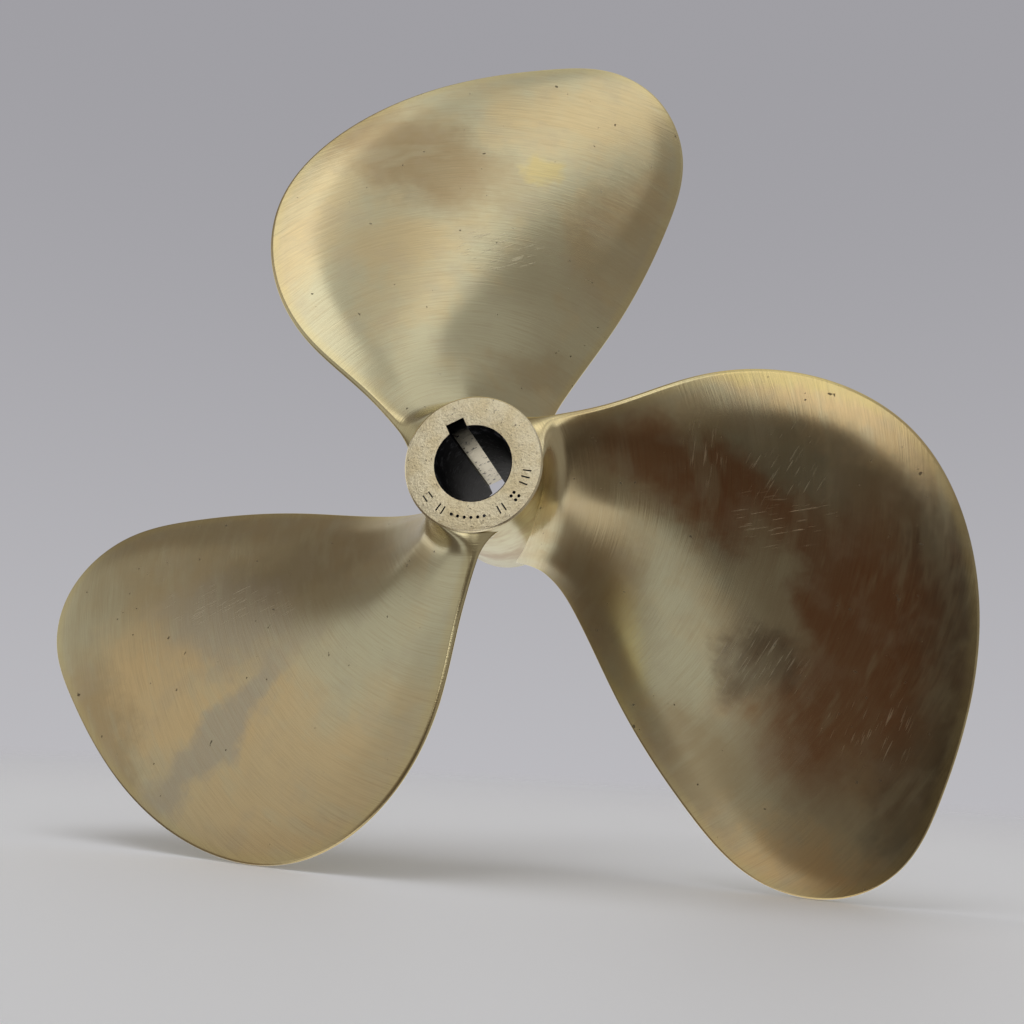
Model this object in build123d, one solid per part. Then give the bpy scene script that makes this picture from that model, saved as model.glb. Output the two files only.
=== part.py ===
"""A three-bladed right-hand bronze boat propeller, 14 1/2 inch diameter by 10 inch pitch, in millimetres.

The shaft axis is the Y axis and +Y points aft. The origin is on the axis, half way along the hub. The
propeller stands on the tips of its two lower blades, so +Z is up. Blade angles are in degrees and grow
clockwise from straight up, as seen from ahead of the hub, which is the way from leading to trailing edge.
"""
from build123d import *
from math import atan2, cos, pi, radians, sin, sqrt
import os

INCH = 25.4

# Driving dimensions
DIAMETER = 14.5 * INCH
PITCH = 10 * INCH
BLADES = 3
STAND_ANGLE = -3.45        # turns blade 1 so that the other two blades touch the floor together

HUB_LENGTH = 2.75 * INCH
HUB_FORE_RADIUS = 23.1
HUB_AFT_RADIUS = 22.2
HUB_EDGE_CHAMFER = 0.6
BORE_FORE_RADIUS = 0.5 * INCH
TAPER_SLOPE = 1 / 32        # radius lost for each millimetre aft: a 1 in 16 taper on the diameter
BORE_MOUTH_CHAMFER = 0.4
KEYWAY_WIDTH = 0.25 * INCH
KEYWAY_DEPTH = 0.125 * INCH
KEYWAY_ANGLE = -23.5        # from the generator of blade 1

GENERATOR_OFFSET = 9.7      # how far aft of the origin the blade's generator line leaves the hub
FORWARD_RAKE = 0.0225       # the generator leans forward this much for each millimetre of radius
EDGE_THICKNESS = 2.0
ROOT_THICKNESS = 9.0
TIP_THICKNESS = 2.8
ROOT_FILLET = 8.0
FILLET_SINK = 0.25          # the fillet's foot is this far under the hub's skin, so that the two cross cleanly

# The blade's outline, as (radius, angle from the generator), from the leading edge's root round to the
# trailing edge's root. Both edges flare out where the root fillet runs into the hub.
OUTLINE = [
    (20, -75), (30, -62), (50, -54), (80, -51), (110, -45), (140, -34.5), (160, -20), (170, -8), (180, 6.5),
    (DIAMETER / 2, 14), (180, 20), (160, 27), (130, 30), (85, 31), (50, 28), (36, 27.5), (20, 41),
]

FORE_FACE = -HUB_LENGTH / 2
AFT_FACE = HUB_LENGTH / 2
MEAN_HUB_RADIUS = (HUB_FORE_RADIUS + HUB_AFT_RADIUS) / 2
REACH = 2 * DIAMETER        # longer than the propeller in every direction


def polar(radius, angle):
    """A point square to the shaft at this radius and angle."""
    return Vector(radius * sin(radians(angle)), 0, radius * cos(radians(angle)))


def hub_radius_at(y):
    """The hub tapers a little from its forward face to its aft face."""
    share = min(max((y - FORE_FACE) / HUB_LENGTH, 0.0), 1.0)
    return HUB_FORE_RADIUS + share * (HUB_AFT_RADIUS - HUB_FORE_RADIUS)


def bore_radius_at(y):
    """The bore tapers from the forward face, where the shaft comes in, to the aft face."""
    return BORE_FORE_RADIUS - TAPER_SLOPE * (y - FORE_FACE)


def helix_y(radius, angle):
    """Where the helical middle of the blade lies along the shaft at this radius and angle."""
    return GENERATOR_OFFSET - FORWARD_RAKE * (radius - MEAN_HUB_RADIUS) + PITCH * angle / 360


def blade_point(radius, angle, offset):
    """A point this far forward of the helical middle, measured square to it round the cylinder."""
    slope = atan2(PITCH, 2 * pi * radius)
    turned = angle + offset * sin(slope) / radius * 180 / pi
    return polar(radius, turned) + Vector(0, helix_y(radius, angle) - offset * cos(slope), 0)


def fillet_flare(height):
    """How much the root fillet widens each side of the blade at this height over the hub."""
    rise = height + FILLET_SINK
    if rise >= ROOT_FILLET:
        return 0.0
    return ROOT_FILLET - sqrt(ROOT_FILLET**2 - (ROOT_FILLET - rise) ** 2)


def crown(radius, angle):
    """The extra thickness on the forward side: a hump up the middle of the blade that thins to the tip."""
    span = 2 * radius / DIAMETER
    middle_angle = -15 + 27 * span**2.2
    half_width = 42 - 18 * span**4
    share = max((radius - MEAN_HUB_RADIUS) / (DIAMETER / 2 - MEAN_HUB_RADIUS), 0.0)
    thickness = ROOT_THICKNESS + (TIP_THICKNESS - ROOT_THICKNESS) * share**0.8
    return (thickness - EDGE_THICKNESS) * max(1 - ((angle - middle_angle) / half_width) ** 2, -0.1)


def blade_side(forward):
    """One side of the blade, larger than its outline all round, lofted through curves of equal height."""
    heights = [-FILLET_SINK, 0.2, 1.0, 2.2, 4.0, 6.0, 8.5, 12, 20, 32, 46, 62, 80, 98, 116, 134, 150, 168]
    curves = []
    for height in heights:
        half = EDGE_THICKNESS / 2 + fillet_flare(height)
        points = []
        for angle in range(-84, 57, 10):
            radius = hub_radius_at(helix_y(MEAN_HUB_RADIUS, angle)) + height
            offset = half + crown(radius, angle) if forward else -half
            points.append(blade_point(radius, angle, offset))
        curves.append(Wire([Spline(points).edge()]))
    return Shell.make_loft(curves).face()


def blade_slab():
    """The closed solid between the blade's two sides."""
    fore = blade_side(True)
    aft = blade_side(False)
    borders = zip(fore.edges(), aft.edges())
    rims = [Face.make_surface_from_curves(a, b) for a, b in borders]
    return Solid(Shell([fore, aft, *rims]))


def outline_prism():
    """The blade's outline, drawn out along the shaft."""
    curve = Spline([polar(radius, angle) for radius, angle in OUTLINE]).edge()
    sheet = make_face([curve, Line(curve @ 1, curve @ 0).edge()])
    return extrude(sheet.moved(Location((0, -REACH / 2, 0))), amount=REACH, dir=(0, 1, 0))


def hub_blank():
    """The hub's outside, a slightly tapered barrel with broken edges."""
    c = HUB_EDGE_CHAMFER
    section = Polyline(
        (0, FORE_FACE, 0), (HUB_FORE_RADIUS - c, FORE_FACE, 0), (hub_radius_at(FORE_FACE + c), FORE_FACE + c, 0),
        (hub_radius_at(AFT_FACE - c), AFT_FACE - c, 0), (HUB_AFT_RADIUS - c, AFT_FACE, 0), (0, AFT_FACE, 0),
        close=True,
    )
    return revolve(make_face(section), Axis.Y)


def shaft_bore():
    """The tapered hole for the shaft, with its keyway and a broken edge at the forward mouth."""
    mouth = BORE_FORE_RADIUS + BORE_MOUTH_CHAMFER
    fore_end = FORE_FACE - 1
    aft_end = AFT_FACE + 1
    section = Polyline(
        (0, fore_end, 0), (mouth + 1, fore_end, 0),
        (bore_radius_at(FORE_FACE + BORE_MOUTH_CHAMFER), FORE_FACE + BORE_MOUTH_CHAMFER, 0),
        (bore_radius_at(aft_end), aft_end, 0), (0, aft_end, 0),
        close=True,
    )
    hole = revolve(make_face(section), Axis.Y)
    slot = Polyline(
        (0, fore_end, 0), (0, fore_end, bore_radius_at(fore_end) + KEYWAY_DEPTH),
        (0, aft_end, bore_radius_at(aft_end) + KEYWAY_DEPTH), (0, aft_end, 0),
        close=True,
    )
    keyway = extrude(make_face(slot), amount=KEYWAY_WIDTH / 2, dir=(1, 0, 0), both=True)
    return hole + keyway.rotate(Axis.Y, KEYWAY_ANGLE + STAND_ANGLE)


def hub():
    """The hub with its bore."""
    return hub_blank() - shaft_bore()


def blade(number):
    """One blade, cut to its outline and to the hub, and flush with the hub's two end faces."""
    between_faces = Box(REACH, HUB_LENGTH, REACH)
    shape = (blade_slab() & outline_prism() & between_faces) - hub_blank()
    return shape.rotate(Axis.Y, STAND_ANGLE + (number - 1) * 360 / BLADES)


def main():
    os.makedirs("parts", exist_ok=True)
    export_step(hub(), "parts/hub.step")
    for number in range(1, BLADES + 1):
        export_step(blade(number), f"parts/blade_{number}.step")


if __name__ == "__main__":
    main()
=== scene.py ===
# %% [markdown]
# # A bronze boat propeller
#
# We model a three-bladed inboard propeller: one casting in nickel-aluminium bronze, ground and brushed by hand on
# its blades, with a turned hub that is bored on a taper for the shaft. The sizes come from the CAD frame, which is
# loaded first. Everything is in metres, the shaft runs along Y, and +Y points aft.

# %% Load the frame
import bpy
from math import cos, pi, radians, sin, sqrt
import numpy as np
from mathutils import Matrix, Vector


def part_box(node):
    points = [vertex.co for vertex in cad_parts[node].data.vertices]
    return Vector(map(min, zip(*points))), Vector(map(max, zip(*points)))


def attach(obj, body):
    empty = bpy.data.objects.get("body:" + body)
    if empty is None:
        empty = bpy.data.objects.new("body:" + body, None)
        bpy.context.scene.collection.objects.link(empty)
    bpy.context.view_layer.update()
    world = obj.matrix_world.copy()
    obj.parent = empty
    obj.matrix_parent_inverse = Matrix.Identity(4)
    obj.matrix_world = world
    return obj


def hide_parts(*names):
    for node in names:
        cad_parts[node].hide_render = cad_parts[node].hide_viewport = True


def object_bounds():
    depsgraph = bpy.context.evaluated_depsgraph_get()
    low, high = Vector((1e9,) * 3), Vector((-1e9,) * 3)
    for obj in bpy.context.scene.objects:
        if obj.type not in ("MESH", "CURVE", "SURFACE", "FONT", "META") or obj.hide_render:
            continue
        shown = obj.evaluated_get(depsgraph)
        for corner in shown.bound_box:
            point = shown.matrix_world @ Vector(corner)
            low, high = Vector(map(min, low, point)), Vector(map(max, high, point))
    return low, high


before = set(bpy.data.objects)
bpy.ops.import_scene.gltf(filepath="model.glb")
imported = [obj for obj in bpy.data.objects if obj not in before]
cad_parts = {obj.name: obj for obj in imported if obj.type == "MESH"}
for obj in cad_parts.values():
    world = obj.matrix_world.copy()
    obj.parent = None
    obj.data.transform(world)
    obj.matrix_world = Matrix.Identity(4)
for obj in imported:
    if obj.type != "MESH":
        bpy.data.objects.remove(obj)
cad_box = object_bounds()

# %% [markdown]
# ## The tools of the bench
# A Blender operator acts on all that is selected, and the frame's own parts arrive selected. So a piece is always
# picked up alone before it is worked on. When it is done it is settled: its turn and place go into its mesh, which
# leaves the object itself at the origin, where patterns on its own coordinates stay put.

MM = 0.001


def deselect():
    """Leave edit mode and select nothing, so that the next operator works on one thing only."""
    if bpy.context.object and bpy.context.object.mode != "OBJECT":
        bpy.ops.object.mode_set(mode="OBJECT")
    bpy.ops.object.select_all(action="DESELECT")


def pick_up(piece):
    """Make this piece the only one selected, and the active one."""
    deselect()
    piece.select_set(True)
    bpy.context.view_layer.objects.active = piece


def settle(piece, name):
    """Name a finished piece and put its place into its mesh."""
    pick_up(piece)
    bpy.ops.object.transform_apply(location=True, rotation=True, scale=True)
    piece.name = name
    piece.data.name = name
    print(name, "has", len(piece.data.polygons), "faces")
    return piece


def use_modifier(piece, kind, **settings):
    """Add a modifier, set it and apply it."""
    pick_up(piece)
    modifier = piece.modifiers.new(kind.title(), kind)
    for key, value in settings.items():
        setattr(modifier, key, value)
    bpy.ops.object.modifier_apply(modifier=modifier.name)


# %% [markdown]
# ## The sizes
# The hub's length and radius are read from the frame. A propeller's blade is a piece of a screw surface: as it
# turns once it moves along the shaft by its pitch, here ten inches. An angle round the shaft is counted in degrees,
# clockwise from straight up as seen from ahead, which runs from each blade's leading edge to its trailing edge.

# %% Sizes
INCH = 25.4 * MM
hub_low, hub_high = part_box("hub")
HUB_FORE, HUB_AFT = hub_low.y, hub_high.y
HUB_LENGTH = HUB_AFT - HUB_FORE
HUB_FORE_RADIUS = hub_high.x
HUB_AFT_RADIUS = HUB_FORE_RADIUS - 0.9 * MM
BORE_FORE_RADIUS = 0.5 * INCH
TAPER_SLOPE = 1 / 32
KEYWAY_WIDTH = 0.25 * INCH
KEYWAY_DEPTH = 0.125 * INCH
DIAMETER = 14.5 * INCH
PITCH = 10 * INCH
STAND_ANGLE = -3.45
KEYWAY_ANGLE = -23.5 + STAND_ANGLE
GENERATOR_OFFSET = 9.7 * MM
FORWARD_RAKE = 0.0225
MEAN_HUB_RADIUS = (HUB_FORE_RADIUS + HUB_AFT_RADIUS) / 2
FLOOR = cad_box[0].z
print("hub", round(HUB_LENGTH / MM, 2), "mm long, floor at", round(FLOOR / MM, 2), "mm")

# %% [markdown]
# ## The blade's outline
# One blade's outline is drawn flat, as radius in millimetres and angle in degrees, up its leading edge, over the
# tip and down its trailing edge. A smooth curve goes through these points. It is a natural cubic spline, which is
# what a thin batten bent round pins would do on the loft floor.

# %% The outline
OUTLINE = [
    (20, -75), (30, -62), (50, -54), (80, -51), (110, -45), (140, -34.5), (160, -20), (170, -8), (180, 6.5),
    (DIAMETER / 2 / MM, 14), (180, 20), (160, 27), (130, 30), (85, 31), (50, 28), (36, 27.5), (20, 41),
]


def batten(points, count):
    """A natural cubic spline through the points, by chord length, sampled evenly along its knots' lengths."""
    points = np.array(points, float)
    steps = np.linalg.norm(np.diff(points, axis=0), axis=1)
    knots = np.concatenate([[0], np.cumsum(steps)])
    n = len(points)
    system = np.eye(n)
    right = np.zeros_like(points)
    for i in range(1, n - 1):
        system[i, i - 1:i + 2] = steps[i - 1], 2 * (steps[i - 1] + steps[i]), steps[i]
        right[i] = 6 * ((points[i + 1] - points[i]) / steps[i] - (points[i] - points[i - 1]) / steps[i - 1])
    bend = np.linalg.solve(system, right)
    where = np.linspace(0, knots[-1], count)
    i = np.clip(np.searchsorted(knots, where, side="right") - 1, 0, n - 2)
    h = steps[i][:, None]
    after = (where - knots[i])[:, None]
    before = h - after
    return ((bend[i] * before**3 + bend[i + 1] * after**3) / (6 * h)
            + (points[i] / h - bend[i] * h / 6) * before + (points[i + 1] / h - bend[i + 1] * h / 6) * after)


flat = batten([(r * MM * sin(radians(a)), r * MM * cos(radians(a))) for r, a in OUTLINE], 4001)
rim_radius = np.hypot(flat[:, 0], flat[:, 1])
rim_angle = np.degrees(np.arctan2(flat[:, 0], flat[:, 1]))
print("outline", round(rim_radius.max() / MM, 2), "mm to the tip")

# %% [markdown]
# ## The blade's surface
# The blade starts as a plain grid. Its four sides are laid on the root, the leading edge, the tip and the trailing
# edge, and the grid between them is blended from those four curves (a Coons patch). The rows crowd together at the
# rim and at the root, where the surface turns quickly.
#
# Each side of the blade then stands off the screw surface. Every blade has a rounded rim and flares into the hub
# through a fillet. The forward side also carries a crown along its middle and a ground bevel inside its rim. All of
# that could be sculpted, but as a formula it is the same on all three blades and easy to change.

# %% Blade shape
FOOT_RADIUS = HUB_AFT_RADIUS - 0.2 * MM
CORNER_RADIUS = 163 * MM
ACROSS, ALONG = 132, 168
EDGE_HALF = 1.0 * MM
FILLET = 8 * MM
FLUSH = 1.0 * MM
WORN = 0.0006
RIDGE_ROOT, RIDGE_TIP = 7.2 * MM, 0.5 * MM
BEVEL_WIDTH, BEVEL_SLOPE = 15 * MM, 0.15


def crowded(count):
    """Fractions from 0 to 1 that crowd at both ends."""
    return (1 - np.cos(np.linspace(0, pi, count))) / 2


def resample(curve, fractions):
    """Points at these fractions of a curve's length, measured flat."""
    xy = np.column_stack([curve[:, 0] * np.sin(np.radians(curve[:, 1])), curve[:, 0] * np.cos(np.radians(curve[:, 1]))])
    run = np.concatenate([[0], np.cumsum(np.linalg.norm(np.diff(xy, axis=0), axis=1))])
    return np.column_stack([np.interp(fractions * run[-1], run, curve[:, k]) for k in (0, 1)])


def coons_patch(a, b):
    """Radius and angle of every grid point, blended from the four sides of the blade."""
    tip = rim_radius.argmax()
    leading = np.arange(0, tip)
    trailing = np.arange(tip, len(rim_radius))
    lead_foot = leading[rim_radius[leading] > FOOT_RADIUS][0]
    trail_foot = trailing[rim_radius[trailing] > FOOT_RADIUS][-1]
    lead_corner = leading[rim_radius[leading] > CORNER_RADIUS][0]
    trail_corner = trailing[rim_radius[trailing] > CORNER_RADIUS][-1]
    rim = np.column_stack([rim_radius, rim_angle])
    left = resample(rim[lead_foot:lead_corner + 1], b)
    right = resample(rim[trail_corner:trail_foot + 1][::-1], b)
    top = resample(rim[lead_corner:trail_corner + 1], a)
    foot = np.column_stack([np.full(len(a), FOOT_RADIUS), left[0, 1] + a * (right[0, 1] - left[0, 1])])
    A, B = a[None, :, None], b[:, None, None]
    corners = ((1 - A) * (1 - B) * foot[0] + A * (1 - B) * foot[-1] + (1 - A) * B * top[0] + A * B * top[-1])
    return (1 - B) * foot[None] + B * top[None] + (1 - A) * left[:, None] + A * right[:, None] - corners


def rim_distance(radius, angle):
    """How far each grid point is from the blade's rim, along the surface."""
    points = np.column_stack([(radius * np.sin(np.radians(angle))).ravel(), (radius * np.cos(np.radians(angle))).ravel()])
    rim = flat[::2] * (1 - WORN)
    distance = np.empty(len(points))
    for start in range(0, len(points), 4000):
        some = points[start:start + 4000]
        nearest = np.hypot(some[:, None, 0] - rim[None, :, 0], some[:, None, 1] - rim[None, :, 1]).argmin(axis=1)
        gaps = []
        for first in (np.clip(nearest - 1, 0, len(rim) - 2), np.clip(nearest, 0, len(rim) - 2)):
            run = rim[first + 1] - rim[first]
            share = ((some - rim[first]) * run).sum(axis=1) / (run * run).sum(axis=1)
            foot = rim[first] + np.clip(share, 0, 1)[:, None] * run
            gaps.append(np.hypot(*(some - foot).T))
        distance[start:start + 4000] = np.minimum(*gaps)
    slope = np.arctan2(PITCH, 2 * pi * radius)
    return distance.reshape(radius.shape) / np.cos(slope)


def keep_between(y, low, high, ease):
    """Hold y between two values, turning smoothly as it comes near them."""
    y = low + ease * np.logaddexp(0, (y - low) / ease)
    return high - ease * np.logaddexp(0, (high - y) / ease)


def screw(radius, angle):
    """How far along the shaft the blade's middle lies. At the root it is eased in behind the hub's faces."""
    y = GENERATOR_OFFSET - FORWARD_RAKE * (radius - MEAN_HUB_RADIUS) + PITCH * angle / 360
    inset = FLUSH + 2.0 * MM
    return keep_between(y, HUB_FORE + inset, HUB_AFT - inset, 1.6 * MM)


def hub_radius_at(y):
    """The barrel tapers a little towards its aft face."""
    share = np.clip((y - HUB_FORE) / HUB_LENGTH, 0, 1)
    return HUB_FORE_RADIUS + share * (HUB_AFT_RADIUS - HUB_FORE_RADIUS)


def side_offset(radius, angle, a, side):
    """How far a side stands off the screw surface. The forward side, +1, carries the crown and the bevel."""
    gap = rim_distance(radius, angle)
    rise = np.clip(radius - hub_radius_at(screw(radius, angle)) + 0.1 * MM, 0, FILLET)
    flare = FILLET - np.sqrt(FILLET**2 - (FILLET - rise)**2)
    half = EDGE_HALF + flare
    offset = half * np.ones_like(gap)
    if side > 0:
        share = np.clip((radius - MEAN_HUB_RADIUS) / (DIAMETER / 2 - MEAN_HUB_RADIUS), 0, 1)
        height = RIDGE_ROOT + (RIDGE_TIP - RIDGE_ROOT) * share**0.7
        drift = np.clip((radius - 45 * MM) / (70 * MM), 0, 1)
        middle = 0.40 + 0.20 * drift**2 * (3 - 2 * drift)
        soft = 0.05 + 0.22 * drift
        reach = np.where(a < middle, middle, 1 - middle)
        roof = 1 - (np.sqrt((a - middle)**2 + soft**2) - soft) / (np.sqrt(reach**2 + soft**2) - soft)
        offset += height * np.clip(roof, 0, 1)
        width = BEVEL_WIDTH * np.sin(pi * np.clip(radius / (DIAMETER / 2), 0, 1))**0.5
        crease = 0.13 * width
        inside = (width - gap) / crease
        offset += BEVEL_SLOPE * (width - crease * np.logaddexp(0, inside))
    nose = np.clip(gap / half, 0, 1)
    return side * offset * np.sqrt(1 - (1 - nose)**2)


def place(radius, angle, offset):
    """The point at this offset from the screw surface, measured square to it round the cylinder."""
    slope = np.arctan2(PITCH, 2 * pi * radius)
    turned = np.radians(angle) + offset * np.sin(slope) / radius
    y = keep_between(screw(radius, angle) - offset * np.cos(slope), HUB_FORE + FLUSH, HUB_AFT - FLUSH, 0.8 * MM)
    return np.stack([radius * np.sin(turned), y, radius * np.cos(turned)], axis=-1)


a, b = crowded(ACROSS + 1), crowded(ALONG + 1)
patch = coons_patch(a, b)
patch_radius, patch_angle = patch[..., 0] * (1 - WORN), patch[..., 1]
patch_gap = rim_distance(patch_radius, patch_angle)
across = np.broadcast_to(a[None, :], patch_radius.shape)
sides = {side: place(patch_radius, patch_angle, side_offset(patch_radius, patch_angle, across, side))
         for side in (-1, 1)}
print("blade grid", patch_radius.shape)


# %% [markdown]
# ## The blades
# A flat grid is added and extruded once, which gives it a second side and a wall all round. Its corners are then laid
# on the two sides worked out above, and turned to the blade's place on the hub. The UV map keeps two lengths for the
# brushing, round the shaft and out from it. Two attributes say how near the rim a point is, and which side it is on.

# %% Make the blades
def blade(number):
    """One blade of three, turned to its place and closed all round."""
    deselect()
    bpy.ops.mesh.primitive_grid_add(x_subdivisions=ACROSS, y_subdivisions=ALONG, size=1)
    piece = bpy.context.object
    bpy.ops.object.mode_set(mode="EDIT")
    bpy.ops.mesh.select_all(action="SELECT")
    bpy.ops.mesh.extrude_region_move(TRANSFORM_OT_translate={"value": (0, 0, 1)})
    bpy.ops.object.mode_set(mode="OBJECT")
    mesh = piece.data
    co = np.empty(len(mesh.vertices) * 3)
    mesh.vertices.foreach_get("co", co)
    co = co.reshape(-1, 3)
    column = np.rint((co[:, 0] + 0.5) * ACROSS).astype(int)
    row = np.rint((co[:, 1] + 0.5) * ALONG).astype(int)
    forward = co[:, 2] > 0.5
    placed = np.where(forward[:, None], sides[1][row, column], sides[-1][row, column])
    turn = radians(STAND_ANGLE + (number - 1) * 120)
    x = placed[:, 0] * cos(turn) + placed[:, 2] * sin(turn)
    z = placed[:, 2] * cos(turn) - placed[:, 0] * sin(turn)
    mesh.vertices.foreach_set("co", np.column_stack([x, placed[:, 1], z]).ravel())
    lay = mesh.uv_layers.active
    loops = np.empty(len(mesh.loops), int)
    mesh.loops.foreach_get("vertex_index", loops)
    radius = patch_radius[row, column]
    uv = np.column_stack([radius * np.radians(patch_angle[row, column]), radius])
    lay.data.foreach_set("uv", uv[loops].ravel())
    lay.name = "along_the_brushing"
    rim = mesh.attributes.new("rim", "FLOAT", "POINT")
    rim.data.foreach_set("value", patch_gap[row, column].astype(np.float32))
    ahead = mesh.attributes.new("ahead", "FLOAT", "POINT")
    ahead.data.foreach_set("value", forward.astype(np.float32))
    bpy.ops.object.mode_set(mode="EDIT")
    bpy.ops.mesh.select_all(action="SELECT")
    bpy.ops.mesh.normals_make_consistent(inside=False)
    bpy.ops.object.mode_set(mode="OBJECT")
    bpy.ops.object.shade_smooth()
    settle(piece, f"propeller_blade_{number}")
    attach(piece, "root")
    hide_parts(f"blade_{number}")
    return piece


blades = [blade(number) for number in (1, 2, 3)]
print("made", len(blades), "blades")

# %% [markdown]
# ## The hub
# The hub was turned in a lathe. Its half section is drawn once and spun round the shaft, which is what the lathe
# did. The bore is a 1 in 16 taper, so that the shaft wedges itself tight in it. A plain cylinder with a hole would
# have knife-sharp edges, so the section has small chamfers, as a turner leaves them.

# %% Turn the hub
HUB_CHAMFER = 0.6 * MM
MOUTH_CHAMFER = 0.35 * MM
SPIN_STEPS = 192


def bore_radius_at(y):
    """The bore narrows from its forward mouth to its aft one."""
    return BORE_FORE_RADIUS - TAPER_SLOPE * (y - HUB_FORE)


def ring_of_points(points):
    """A closed loop of edges through these points, made from a circle with as many corners."""
    deselect()
    bpy.ops.mesh.primitive_circle_add(vertices=len(points), radius=1, fill_type="NOTHING")
    loop = bpy.context.object
    for vertex, point in zip(loop.data.vertices, points):
        vertex.co = point
    return loop


section = [
    (bore_radius_at(HUB_FORE + MOUTH_CHAMFER), HUB_FORE + MOUTH_CHAMFER),
    (BORE_FORE_RADIUS + MOUTH_CHAMFER, HUB_FORE),
    (HUB_FORE_RADIUS - HUB_CHAMFER, HUB_FORE),
    (hub_radius_at(HUB_FORE + HUB_CHAMFER), HUB_FORE + HUB_CHAMFER),
    (hub_radius_at(HUB_AFT - HUB_CHAMFER), HUB_AFT - HUB_CHAMFER),
    (HUB_AFT_RADIUS - HUB_CHAMFER, HUB_AFT),
    (bore_radius_at(HUB_AFT) + MOUTH_CHAMFER, HUB_AFT),
    (bore_radius_at(HUB_AFT - MOUTH_CHAMFER), HUB_AFT - MOUTH_CHAMFER),
]
hub = ring_of_points([(radius, y, 0) for radius, y in section])
bpy.ops.object.mode_set(mode="EDIT")
bpy.ops.mesh.select_all(action="SELECT")
bpy.ops.mesh.spin(steps=SPIN_STEPS, angle=2 * pi, center=(0, 0, 0), axis=(0, 1, 0))
bpy.ops.mesh.select_all(action="SELECT")
bpy.ops.mesh.remove_doubles(threshold=0.001 * MM)
bpy.ops.mesh.normals_make_consistent(inside=False)
bpy.ops.object.mode_set(mode="OBJECT")
print("turned hub has", len(hub.data.polygons), "faces")

# %% [markdown]
# The keyway is broached: a square cutter is pulled along the bore. Here a box is laid along the taper and taken
# away from the hub. Its outer face leans with the bore, so the keyway stays equally deep.

# %% Cut the keyway
def cut_away(piece, cutter):
    """Take the cutter's shape away from the piece, and throw the cutter away."""
    use_modifier(piece, "BOOLEAN", operation="DIFFERENCE", solver="EXACT", object=cutter)
    bpy.data.objects.remove(cutter)


deselect()
bpy.ops.mesh.primitive_cube_add(size=1)
broach = bpy.context.object
for vertex in broach.data.vertices:
    y = (HUB_FORE - 2 * MM) if vertex.co.y < 0 else (HUB_AFT + 2 * MM)
    depth = bore_radius_at(y) + KEYWAY_DEPTH if vertex.co.z > 0 else 0
    vertex.co = (vertex.co.x * KEYWAY_WIDTH, y, depth)
broach.rotation_euler = (0, radians(KEYWAY_ANGLE), 0)
cut_away(hub, broach)
use_modifier(hub, "BEVEL", width=0.22 * MM, segments=2, limit_method="ANGLE", angle_limit=radians(40))
print("hub with its keyway has", len(hub.data.polygons), "faces")

# %% [markdown]
# A founder stamps marks into the forward face with steel punches. These are plain tally marks with no meaning:
# bars and centre-punch dots, each sunk half a millimetre.

# %% Stamp the forward face
STAMP_RADIUS = 18.2 * MM
STAMP_DEPTH = 0.5 * MM


def punch(shape, clock, radius=STAMP_RADIUS, turn=0):
    """Put a punch on the face at a clock angle, facing the shaft, and return it."""
    shape.rotation_euler = (0, radians(clock + turn), 0)
    shape.location = (radius * sin(radians(clock)), HUB_FORE, radius * cos(radians(clock)))
    return shape


def bar(clock, length=2.9 * MM, width=0.6 * MM, turn=0, radius=STAMP_RADIUS):
    """A chisel-shaped punch, narrower at its tip."""
    deselect()
    bpy.ops.mesh.primitive_cube_add(size=1)
    shape = bpy.context.object
    for vertex in shape.data.vertices:
        narrow = 0.45 if vertex.co.y > 0 else 1.15
        vertex.co = (vertex.co.x * width * narrow, vertex.co.y * 2 * STAMP_DEPTH, vertex.co.z * length)
    return punch(shape, clock, radius, turn)


def dot(clock, radius=STAMP_RADIUS, size=0.72 * MM):
    """A centre punch, a blunt cone that points into the face."""
    deselect()
    bpy.ops.mesh.primitive_cone_add(vertices=20, radius1=1.2 * size, radius2=0.3 * size, depth=2 * STAMP_DEPTH,
                                    rotation=(-pi / 2, 0, 0))
    shape = bpy.context.object
    bpy.ops.object.transform_apply(location=False, rotation=True, scale=False)
    return punch(shape, clock, radius)


punches = [bar(clock) for clock in (97, 104, 111)]
punches += [dot(clock, radius) for clock in (124, 129) for radius in (17.2 * MM, 19.2 * MM)]
punches += [bar(clock) for clock in (142, 148)]
punches += [dot(clock) for clock in (164, 171, 178, 185, 192, 199)]
punches += [bar(clock) for clock in (209, 215)]
punches += [bar(231, length=2.6 * MM, turn=90, radius=radius) for radius in (17.2 * MM, 19.4 * MM)]
for stamp in punches:
    cut_away(hub, stamp)
print("stamped", len(punches), "marks")

# %% [markdown]
# The turned surfaces shade smoothly and the edges between them stay crisp, so shading is split by angle.

# %% Settle the hub
settle(hub, "propeller_hub")
bpy.ops.object.shade_smooth_by_angle(angle=radians(32))
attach(hub, "root")
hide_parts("hub")

# %% [markdown]
# ## Finishes
# All the finishes are worked out from a few patterns. Writing a shader is easier as sums, so a small class wraps
# a socket: adding or multiplying two of them adds the Math node that does it.

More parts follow.
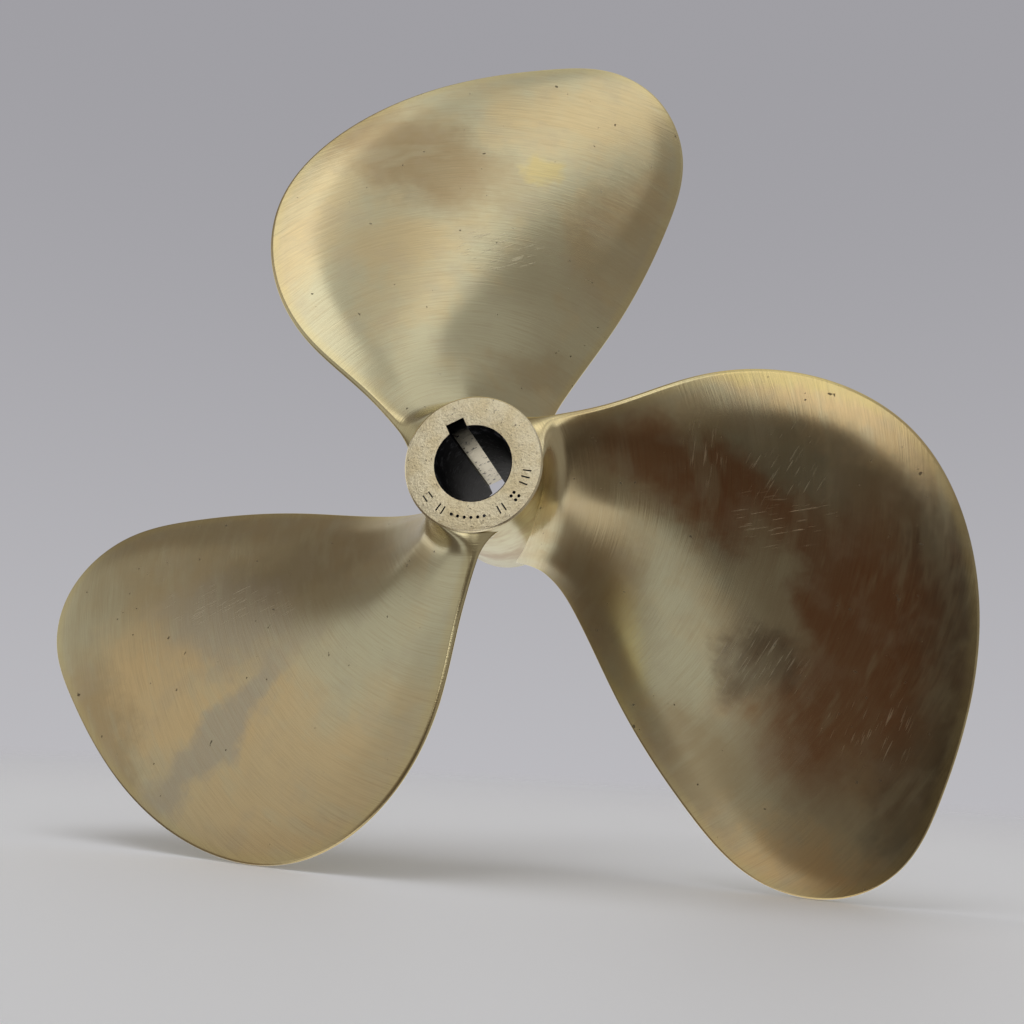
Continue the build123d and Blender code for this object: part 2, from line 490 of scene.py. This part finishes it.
# %% A socket in Python clothes
class Value:
    """A socket that can be added to, multiplied and so on."""
    def __init__(self, bench, socket):
        self.bench, self.socket = bench, socket

    def math(self, operation, *others, clamp=False):
        return self.bench.node("ShaderNodeMath", {"operation": operation, "use_clamp": clamp},
                               dict(enumerate((self, *others))))

    def __add__(self, other):
        return self.math("ADD", other)

    def __sub__(self, other):
        return self.math("SUBTRACT", other)

    def __mul__(self, other):
        return self.math("MULTIPLY", other)

    def __truediv__(self, other):
        return self.math("DIVIDE", other)

    def __pow__(self, other):
        return self.math("POWER", other)

    def __neg__(self):
        return self.math("MULTIPLY", -1)

    def __rsub__(self, other):
        return (-self).math("ADD", other)

    __radd__ = __add__
    __rmul__ = __mul__

    def step(self, low, high):
        """0 below low, 1 above high, and a smooth rise between."""
        return self.bench.node("ShaderNodeMapRange", {"interpolation_type": "SMOOTHSTEP"},
                               {0: self, 1: low, 2: high, 3: 0.0, 4: 1.0})


# %% [markdown]
# The bench is where a finish is put together. One method adds any node: its settings first, then its sockets, each
# with a number or a link. The others are the few patterns that the finishes share.

# %% The bench
class Bench:
    """The node tree of one finish."""
    def __init__(self, tree):
        self.tree = tree
        tree.nodes.clear()

    def node(self, kind, settings=None, sockets=None, output=0):
        """Add a node and return one of its outputs, or all of them when output is None."""
        made = self.tree.nodes.new(kind)
        for key, value in (settings or {}).items():
            setattr(made, key, value)
        for key, value in (sockets or {}).items():
            if isinstance(value, Value):
                self.tree.links.new(value.socket, made.inputs[key])
            else:
                made.inputs[key].default_value = value
        outputs = [Value(self, socket) for socket in made.outputs]
        return outputs if output is None or not outputs else outputs[output]

    def mix(self, share, first, second):
        """A colour part of the way from the first to the second."""
        return self.node("ShaderNodeMix", {"data_type": "RGBA", "clamp_factor": True},
                         {0: share, 6: first, 7: second}, output=2)

    def blot(self, place, centre, size, turn=0, soft=0.5):
        """1 inside an oblong about this centre, in the plane across the shaft, fading to 0 outside it."""
        local = self.node("ShaderNodeMapping", {"vector_type": "TEXTURE"},
                          {"Vector": place, "Location": (centre[0] * MM, 0, centre[1] * MM),
                           "Rotation": (0, radians(turn), 0), "Scale": (size[0] * MM, 1, size[1] * MM)})
        reach = self.node("ShaderNodeVectorMath", {"operation": "LENGTH"}, {0: local}, output=1)
        return 1 - reach.step(1 - soft, 1 + soft)

    def stretch(self, vector, factors):
        """The vector with each of its parts multiplied."""
        return self.node("ShaderNodeVectorMath", {"operation": "MULTIPLY"}, {0: vector, 1: factors})

    def noise(self, vector, scale, detail=2.0, roughness=0.5):
        """Cloudy noise about 0.5."""
        return self.node("ShaderNodeTexNoise", {}, {"Vector": vector, "Scale": scale, "Detail": detail,
                                                    "Roughness": roughness})

    def split(self, vector):
        """The three parts of a vector."""
        return self.node("ShaderNodeSeparateXYZ", {}, {0: vector}, output=None)

    def join(self, x, y, z):
        """A vector from three parts."""
        return self.node("ShaderNodeCombineXYZ", {}, {0: x, 1: y, 2: z})


def finish(name):
    """A new material, its bench, and the place on the object that its patterns follow."""
    material = bpy.data.materials.new(name)
    material.use_nodes = True
    bench = Bench(material.node_tree)
    place_on = bench.node("ShaderNodeTexCoord", output=3)
    return material, bench, place_on


def complete(bench, color, roughness, height, relief, metallic=1.0, gloss=0.5):
    """The bronze itself: a metal with this colour and roughness, and a relief this high."""
    bump = bench.node("ShaderNodeBump", {}, {"Distance": relief, "Height": height})
    metal = bench.node("ShaderNodeBsdfPrincipled", {}, {"Base Color": color, "Metallic": metallic,
                                                        "Roughness": roughness, "Specular IOR Level": gloss,
                                                        "Normal": bump})
    bench.node("ShaderNodeOutputMaterial", {}, {0: metal})


# %% [markdown]
# ### Brushed bronze
# Each blade was ground with a belt, then brushed round the shaft, so its lines are arcs about the shaft. The UV map
# holds the distance round the shaft and the radius, in metres: noise that is stretched a hundred times along the
# first is a bundle of such lines. Over it lie soft patches of tarnish, of painted shade and of painted highlights.

# %% The brushed bronze
GOLD = (0.86, 0.70, 0.40, 1)
YELLOW = (0.90, 0.75, 0.34, 1)
STRAW = (0.78, 0.74, 0.50, 1)
AMBER = (0.95, 0.69, 0.35, 1)
MAUVE = (0.66, 0.58, 0.42, 1)
BROWN = (0.56, 0.43, 0.24, 1)
RUST = (0.40, 0.17, 0.07, 1)
BLACK_BROWN = (0.13, 0.10, 0.075, 1)

# patches of tarnish, painted shade and painted highlights on the forward side of each blade
# colour, centre (across, up), half width and height in millimetres, turn in degrees, and strength
STAINS_AND_PAINTED_LIGHT = {
    1: [(BROWN, (-40, 132), (40, 19), 15, 0.95), (GOLD, (-42, 92), (20, 14), 0, 0.9), (GOLD, (-78, 95), (16, 34), 20, 0.8),
        (GOLD, (32, 158), (30, 15), -20, 0.9), (YELLOW, (8, 133), (7, 5), 0, 0.8), (GOLD, (0, 150), (14, 8), 0, 0.7),
        (BROWN, (40, 110), (16, 30), 20, 0.5), (BROWN, (10, 52), (14, 8), 0, 0.4)],
    2: [(BROWN, (36, -24), (16, 26), 0, 0.8), (BLACK_BROWN, (116, -16), (50, 36), 25, 0.5), (BLACK_BROWN, (146, -60), (13, 70), 8, 0.7), (RUST, (70, 1), (34, 12), 25, 0.85), (RUST, (120, -54), (28, 46), 10, 0.9),
        (RUST, (92, -14), (16, 12), 0, 0.6), (STRAW, (96, -34), (10, 22), -15, 0.7), (BLACK_BROWN, (92, -57), (10, 12), 0, 0.6),
        (AMBER, (118, 28), (66, 14), 25, 0.7), (YELLOW, (104, 36), (40, 8), 12, 0.9), (BROWN, (74, -94), (16, 24), -35, 0.8), (AMBER, (104, -130), (46, 18), 10, 1.0)],
    3: [(BROWN, (-105, -26), (80, 34), -8, 0.65), (AMBER, (-122, -78), (34, 24), 0, 0.8), (AMBER, (-62, -108), (50, 40), -25, 0.7),
        (MAUVE, (-96, -50), (28, 16), 0, 0.9), (MAUVE, (-92, -93), (8, 44), 39, 1.0), (STRAW, (-38, -58), (16, 26), 20, 0.9),
        (BROWN, (-136, -104), (13, 44), -35, 0.8), (BLACK_BROWN, (-66, -24), (40, 10), -22, 0.15)],
}
# clusters of fine scratches: centre, half size, direction of the scratches in degrees
SCRATCHES = {1: [((-5, 95), (14, 8), 60)],
             2: [((98, -12), (16, 8), 80), ((75, 8), (6, 9), 5), ((92, -57), (12, 12), 30), ((131, -76), (12, 10), 20),
                 ((100, 4), (12, 10), 30)],
             3: [((-95, -45), (24, 6), 60)]}


def brushed_bronze(number):
    """The finish of one blade: brushed lines, tarnish with painted shade and highlights, scratches, specks and a
    painted highlight along the rim.
    """
    material, bench, place_on = finish(f"brushed_bronze_{number}")
    brushing = bench.node("ShaderNodeUVMap", {"uv_map": "along_the_brushing"})
    drift = bench.noise(place_on, 24.0, 2.0)
    sway = bench.join(0.0, drift * 0.0025, float(number))
    lines_at = bench.node("ShaderNodeVectorMath", {"operation": "ADD"}, {0: brushing, 1: sway})
    fine = bench.noise(bench.stretch(lines_at, (70, 2400, 1)), 1.0, 2.0, 0.7)
    coarse = bench.noise(bench.stretch(lines_at, (35, 1050, 1)), 1.0, 2.0, 0.6)
    cloud = bench.noise(place_on, 22.0, 4.0, 0.6)
    wisps = bench.noise(bench.stretch(lines_at, (30, 110, 1)), 1.0, 3.0, 0.6)
    small_cloud = bench.noise(place_on, 75.0, 3.0, 0.6)
    warp = bench.node("ShaderNodeTexNoise", {}, {"Vector": place_on, "Scale": 45.0, "Detail": 4.0,
                                                 "Roughness": 0.65}, output=1)
    warp = bench.node("ShaderNodeVectorMath", {"operation": "SUBTRACT"}, {0: warp, 1: (0.5, 0.5, 0.5)})
    warp = bench.stretch(warp, (0.030, 0.030, 0.030))
    ragged = bench.node("ShaderNodeVectorMath", {"operation": "ADD"}, {0: place_on, 1: warp})
    ahead = bench.node("ShaderNodeAttribute", {"attribute_name": "ahead"}, output=2)
    rim = bench.node("ShaderNodeAttribute", {"attribute_name": "rim"}, output=2)
    color = bench.mix(cloud.step(0.45, 0.62) * 0.6, STRAW, GOLD)
    color = bench.mix((1 - ahead) * cloud.step(0.50, 0.60) * 0.7, color, BROWN)
    # tarnish, painted shade and painted highlights, each laid as a soft patch
    for blot_colour, centre, size, turn, strength in STAINS_AND_PAINTED_LIGHT[number]:
        blot = bench.blot(ragged, centre, size, turn) * ahead * strength
        color = bench.mix(blot * (0.7 + wisps * 0.5), color, blot_colour)
    color = bench.mix(wisps.step(0.48, 0.66) * 0.35, color, STRAW)
    # painted highlight: a yellow band inside the rim, where the rounded edge catches the light
    color = bench.mix(0.35 - rim.step(1.5 * MM, 5 * MM) * 0.35, color, YELLOW)
    color = bench.mix(small_cloud.step(0.48, 0.70) * 0.22, color, MAUVE)
    color = bench.mix(coarse.step(0.45, 0.72) * 0.10 + fine.step(0.42, 0.72) * 0.24, color, BROWN)
    scratch = 0.0
    for centre, size, turn in SCRATCHES[number]:
        grain = bench.node("ShaderNodeMapping", {"vector_type": "TEXTURE"},
                           {"Vector": place_on, "Rotation": (0, radians(turn), 0), "Scale": (0.0006, 1.0, 0.009)})
        hit = bench.noise(grain, 1.0, 1.0, 0.5).step(0.60, 0.70)
        scratch = hit * bench.blot(ragged, centre, size, 0, 0.6) * ahead + scratch
    color = bench.mix(scratch * 0.35, color, (0.9, 0.82, 0.62, 1))
    specks = bench.noise(place_on, 420.0, 1.0).step(0.77, 0.80)
    color = bench.mix(specks * 0.7, color, (0.10, 0.08, 0.06, 1))
    roughness = 0.13 + cloud * 0.06 + small_cloud * 0.06 + fine * 0.06 + specks * 0.3 + scratch * 0.15
    height = fine * 0.7 + coarse * 0.6 + small_cloud * 0.5 + scratch * 0.4
    complete(bench, color, roughness, height, 0.04 * MM)
    return material


for number, piece in enumerate(blades, 1):
    piece.data.materials.append(brushed_bronze(number))
print("brushed", len(blades), "blades")

# %% [markdown]
# ### Blasted bronze
# The hub's end faces were blasted with grit, which leaves a pale, even grain with a few deeper pits. The chamfers at
# their edges were handled smooth again, so they take the same finish with less grit and more shine.

# %% The blasted bronze
def blasted_bronze(name, grit, shine):
    """A pale grain with pits: grit says how deep it is, and shine how rough it stays."""
    material, bench, place_on = finish(name)
    grain = bench.noise(place_on, 1500.0, 3.0, 0.7)
    pits = bench.noise(place_on, 700.0, 2.0, 0.6)
    blotch = bench.noise(place_on, 160.0, 3.0, 0.6)
    color = bench.mix(blotch.step(0.35, 0.7), (1.0, 0.91, 0.66, 1), (0.94, 0.82, 0.54, 1))
    color = bench.mix(grain.step(0.50, 0.70) * 0.5 * grit, color, (0.50, 0.41, 0.25, 1))
    color = bench.mix(pits.step(0.66, 0.72) * 0.7 * grit, color, (0.16, 0.12, 0.08, 1))
    complete(bench, color, shine + blotch * 0.15, grain * 1.0 + pits * 1.2, 0.22 * MM * grit)
    return material


# %% [markdown]
# ### The bore and the keyway
# The bore is nearly black, with faint rings where the reamer turned. The keyway is bright, crusted metal, with
# painted shade near its forward mouth, where its floor lies in shadow.

# %% The bore and the keyway
def bored_bronze():
    """Nearly black metal with the reamer's rings."""
    material, bench, place_on = finish("bored_bronze")
    x, y, z = bench.split(place_on)
    feed = bench.noise(bench.join(y * 900, x * 12, z * 12), 1.0, 2.0)
    blotch = bench.noise(place_on, 300.0, 4.0, 0.7)
    color = bench.mix(blotch.step(0.54, 0.68), (0.006, 0.006, 0.009, 1), (0.11, 0.11, 0.12, 1))
    complete(bench, color, 0.45 + blotch * 0.2, feed * 0.6 + blotch * 1.0, 0.12 * MM, metallic=0.3, gloss=0.15)
    return material


def keyway_bronze():
    """Bright, crusted metal, with painted shade near the forward mouth."""
    material, bench, place_on = finish("keyway_bronze")
    x, y, z = bench.split(place_on)
    crust = bench.noise(place_on, 420.0, 4.0, 0.7)
    # painted shade: the keyway turns nearly black towards its forward mouth, where its floor lies in shadow
    inside = (y + crust * 0.004).step(HUB_FORE + 9 * MM, HUB_FORE + 14 * MM)
    color = bench.mix(crust.step(0.56, 0.64), (0.80, 0.74, 0.58, 1), (0.05, 0.045, 0.04, 1))
    color = bench.mix(inside, (0.006, 0.006, 0.008, 1), color)
    complete(bench, color, 0.24 + crust * 0.2, crust, 0.12 * MM)
    return material


# %% [markdown]
# ### Turned bronze
# The barrel between the blades was turned, so fine rings run round it. They are noise that changes quickly along the
# shaft and hardly at all round it.

# %% The turned bronze
def turned_bronze():
    """The barrel's fine rings, with a little tarnish."""
    material, bench, place_on = finish("turned_bronze")
    x, y, z = bench.split(place_on)
    feed = bench.noise(bench.join(y * 1500, x * 30, z * 30), 1.0, 2.0)
    blotch = bench.noise(place_on, 60.0, 3.0, 0.6)
    color = bench.mix(blotch.step(0.4, 0.7), STRAW, BROWN)
    color = bench.mix(feed.step(0.5, 0.7) * 0.3, color, BROWN)
    complete(bench, color, 0.24 + blotch * 0.12, feed * 0.8 + blotch * 0.5, 0.05 * MM)
    return material


# %% [markdown]
# The hub is one mesh with five finishes. Each face takes the finish of its place: the barrel, the chamfers, the
# keyway, the bore, and the two end faces.

# %% Give each face of the hub its finish
for material in (turned_bronze(), blasted_bronze("blasted_bronze", 1.0, 0.28), bored_bronze(), keyway_bronze(),
                 blasted_bronze("bright_edge", 0.25, 0.12)):
    hub.data.materials.append(material)
TURNED, BLASTED, BORED, KEYED, BRIGHT = range(5)
for face in hub.data.polygons:
    middle = face.center
    out = sqrt(middle.x**2 + middle.z**2)
    along = abs(face.normal.y) < 0.5
    if out > hub_radius_at(middle.y) - 0.1 * MM and along:
        face.material_index = TURNED
    elif out > hub_radius_at(middle.y) - HUB_CHAMFER - 0.1 * MM:
        face.material_index = BRIGHT
    elif along and out > bore_radius_at(middle.y) + 0.5 * KEYWAY_DEPTH and HUB_FORE + STAMP_DEPTH < middle.y:
        face.material_index = KEYED
    elif along or HUB_FORE + 0.1 * MM < middle.y < 0:
        face.material_index = BORED
    else:
        face.material_index = BLASTED
print("hub finished")

# %% [markdown]
# ## The studio
# The camera stands close, low and a little to the right, and looks up at the hub. So near, the lens is a little
# shorter than a portrait lens, and the lower blades look larger than the upper one.

# %% Camera
camera_data = bpy.data.cameras.new("camera")
camera = bpy.data.objects.new("camera", camera_data)
bpy.context.collection.objects.link(camera)
camera_data.lens = 35.1
camera_data.sensor_width = 36
camera.location = (71.7 * MM, -341.0 * MM, -87.1 * MM)
aim = Vector((7.4 * MM, 0, -8.0 * MM))
look = (aim - camera.location).to_track_quat("-Z", "Y")
camera.rotation_mode = "QUATERNION"
camera.rotation_quaternion = look @ Matrix.Rotation(radians(3.53), 4, "Z").to_quaternion()
camera_data.clip_start = 0.01
bpy.context.scene.camera = camera
bpy.context.scene.view_settings.view_transform = "Standard"

# %% [markdown]
# The floor is a pale sheet. A hard edge would show as a horizon behind the propeller, and a curved backdrop would be
# in the way from behind. So the sheet fades out towards its edge instead, and works from any side.

# %% Floor
FLOOR_SIZE = 3.0
deselect()
bpy.ops.mesh.primitive_circle_add(vertices=96, radius=FLOOR_SIZE / 2, fill_type="NGON", location=(0, 0, FLOOR))
floor = bpy.context.object
settle(floor, "floor")
floor.visible_glossy = False
paper, bench, place_on = finish("paper")
x, y, z = bench.split(place_on)
away = (x * x + y * y)**0.5
sheet = bench.node("ShaderNodeBsdfPrincipled", {}, {"Base Color": (0.85, 0.87, 0.92, 1), "Roughness": 0.6})
clear = bench.node("ShaderNodeBsdfTransparent")
faded = bench.node("ShaderNodeMixShader", {}, {0: away.step(0.25, 1.2), 1: sheet, 2: clear})
bench.node("ShaderNodeOutputMaterial", {}, {0: faded})
floor.data.materials.append(paper)

# %% [markdown]
# Polished metal has little colour of its own to show: it shows the room. So the world is a dim dome with soft
# patches of light and dark hung in it, each at an azimuth, from straight ahead of the hub towards its right, and an
# elevation. Each row is an azimuth, an elevation and a radius in degrees, the softness of the edge and the
# brightness. The camera itself sees only a plain pale backdrop.

# %% World
PATCHES = [
    (15, 64, 38, 0.5, 0.62), (-92, 50, 32, 0.45, 0.20), (-66, 12, 19, 0.6, 0.46), (-44, 0, 12, 0.6, 0.38),
    (62, 36, 18, 0.6, 0.34), (27, 42, 14, 0.35, 0.82), (6, 50, 12, 0.4, 0.42), (-17, 44, 12, 0.2, 1.05),
    (18, 25, 8, 0.5, 0.80), (38, 18, 13, 0.4, 0.22), (20, 8, 11, 0.3, 0.95), (17, -26, 22, 0.14, 0.10),
    (-8, -28, 17, 0.6, 0.13), (28, -48, 22, 0.5, 0.055), (0, -50, 16, 0.6, 0.13), (-47, -43, 20, 0.5, 0.42),
    (-45, -64, 14, 0.6, 0.36), (-94, -34, 24, 0.5, 0.12), (-5, 10, 10, 0.5, 1.60), (180, 40, 32, 0.4, 0.50),
    (175, -22, 38, 0.4, 0.75), (-118, 6, 20, 0.3, 0.70), (0, -90, 20, 0.4, 0.70),
]
DOME = 0.25
world = bpy.data.worlds.new("studio")
bpy.context.scene.world = world
world.use_nodes = True
bench = Bench(world.node_tree)
direction = bench.node("ShaderNodeTexCoord")
glow = DOME
for azimuth, elevation, radius, soft, level in PATCHES:
    azimuth, elevation = radians(azimuth), radians(elevation)
    towards = (sin(azimuth) * cos(elevation), -cos(azimuth) * cos(elevation), sin(elevation))
    facing = bench.node("ShaderNodeVectorMath", {"operation": "DOT_PRODUCT"}, {0: direction, 1: towards}, output=1)
    inside = facing.step(cos(radians(radius * (1 + soft))), cos(radians(radius * (1 - soft))))
    glow = glow + inside * (level - glow)
tint = bench.mix(glow.step(0.03, 0.40), (1.0, 0.82, 0.66, 1), (1.0, 0.97, 0.93, 1))
room = bench.node("ShaderNodeBackground", {}, {"Color": tint, "Strength": glow})
x, y, z = bench.split(direction)
backdrop = bench.mix(z.step(-0.25, 0.62), (0.52, 0.515, 0.54, 1), (0.35, 0.345, 0.37, 1))
pale = bench.node("ShaderNodeBackground", {}, {"Color": backdrop, "Strength": 1.0})
seen = bench.node("ShaderNodeLightPath")
bench.node("ShaderNodeOutputWorld", {}, {0: bench.node("ShaderNodeMixShader", {}, {0: seen, 1: room, 2: pale})})

print("hung", len(PATCHES), "patches in the world")

# %% [markdown]
# One large soft lamp stands over the floor, for the shadow under the blades. It is hidden from reflections, because
# the metal already has its room to show, and a round lamp in it would look like a hot spot.

# %% A soft lamp over the floor
def soft_lamp(name, location, aim, size, power):
    """A round area lamp that faces its aim."""
    light = bpy.data.lights.new(name, "AREA")
    light.shape = "DISK"
    light.size = size
    light.energy = power
    lamp = bpy.data.objects.new(name, light)
    bpy.context.collection.objects.link(lamp)
    lamp.location = location
    lamp.rotation_euler = (Vector(aim) - Vector(location)).to_track_quat("-Z", "Y").to_euler()
    return lamp


lamp = soft_lamp("top_softbox", (-0.3, -0.5, 1.6), (0, 0, FLOOR), 1.2, 9)
lamp.visible_glossy = False
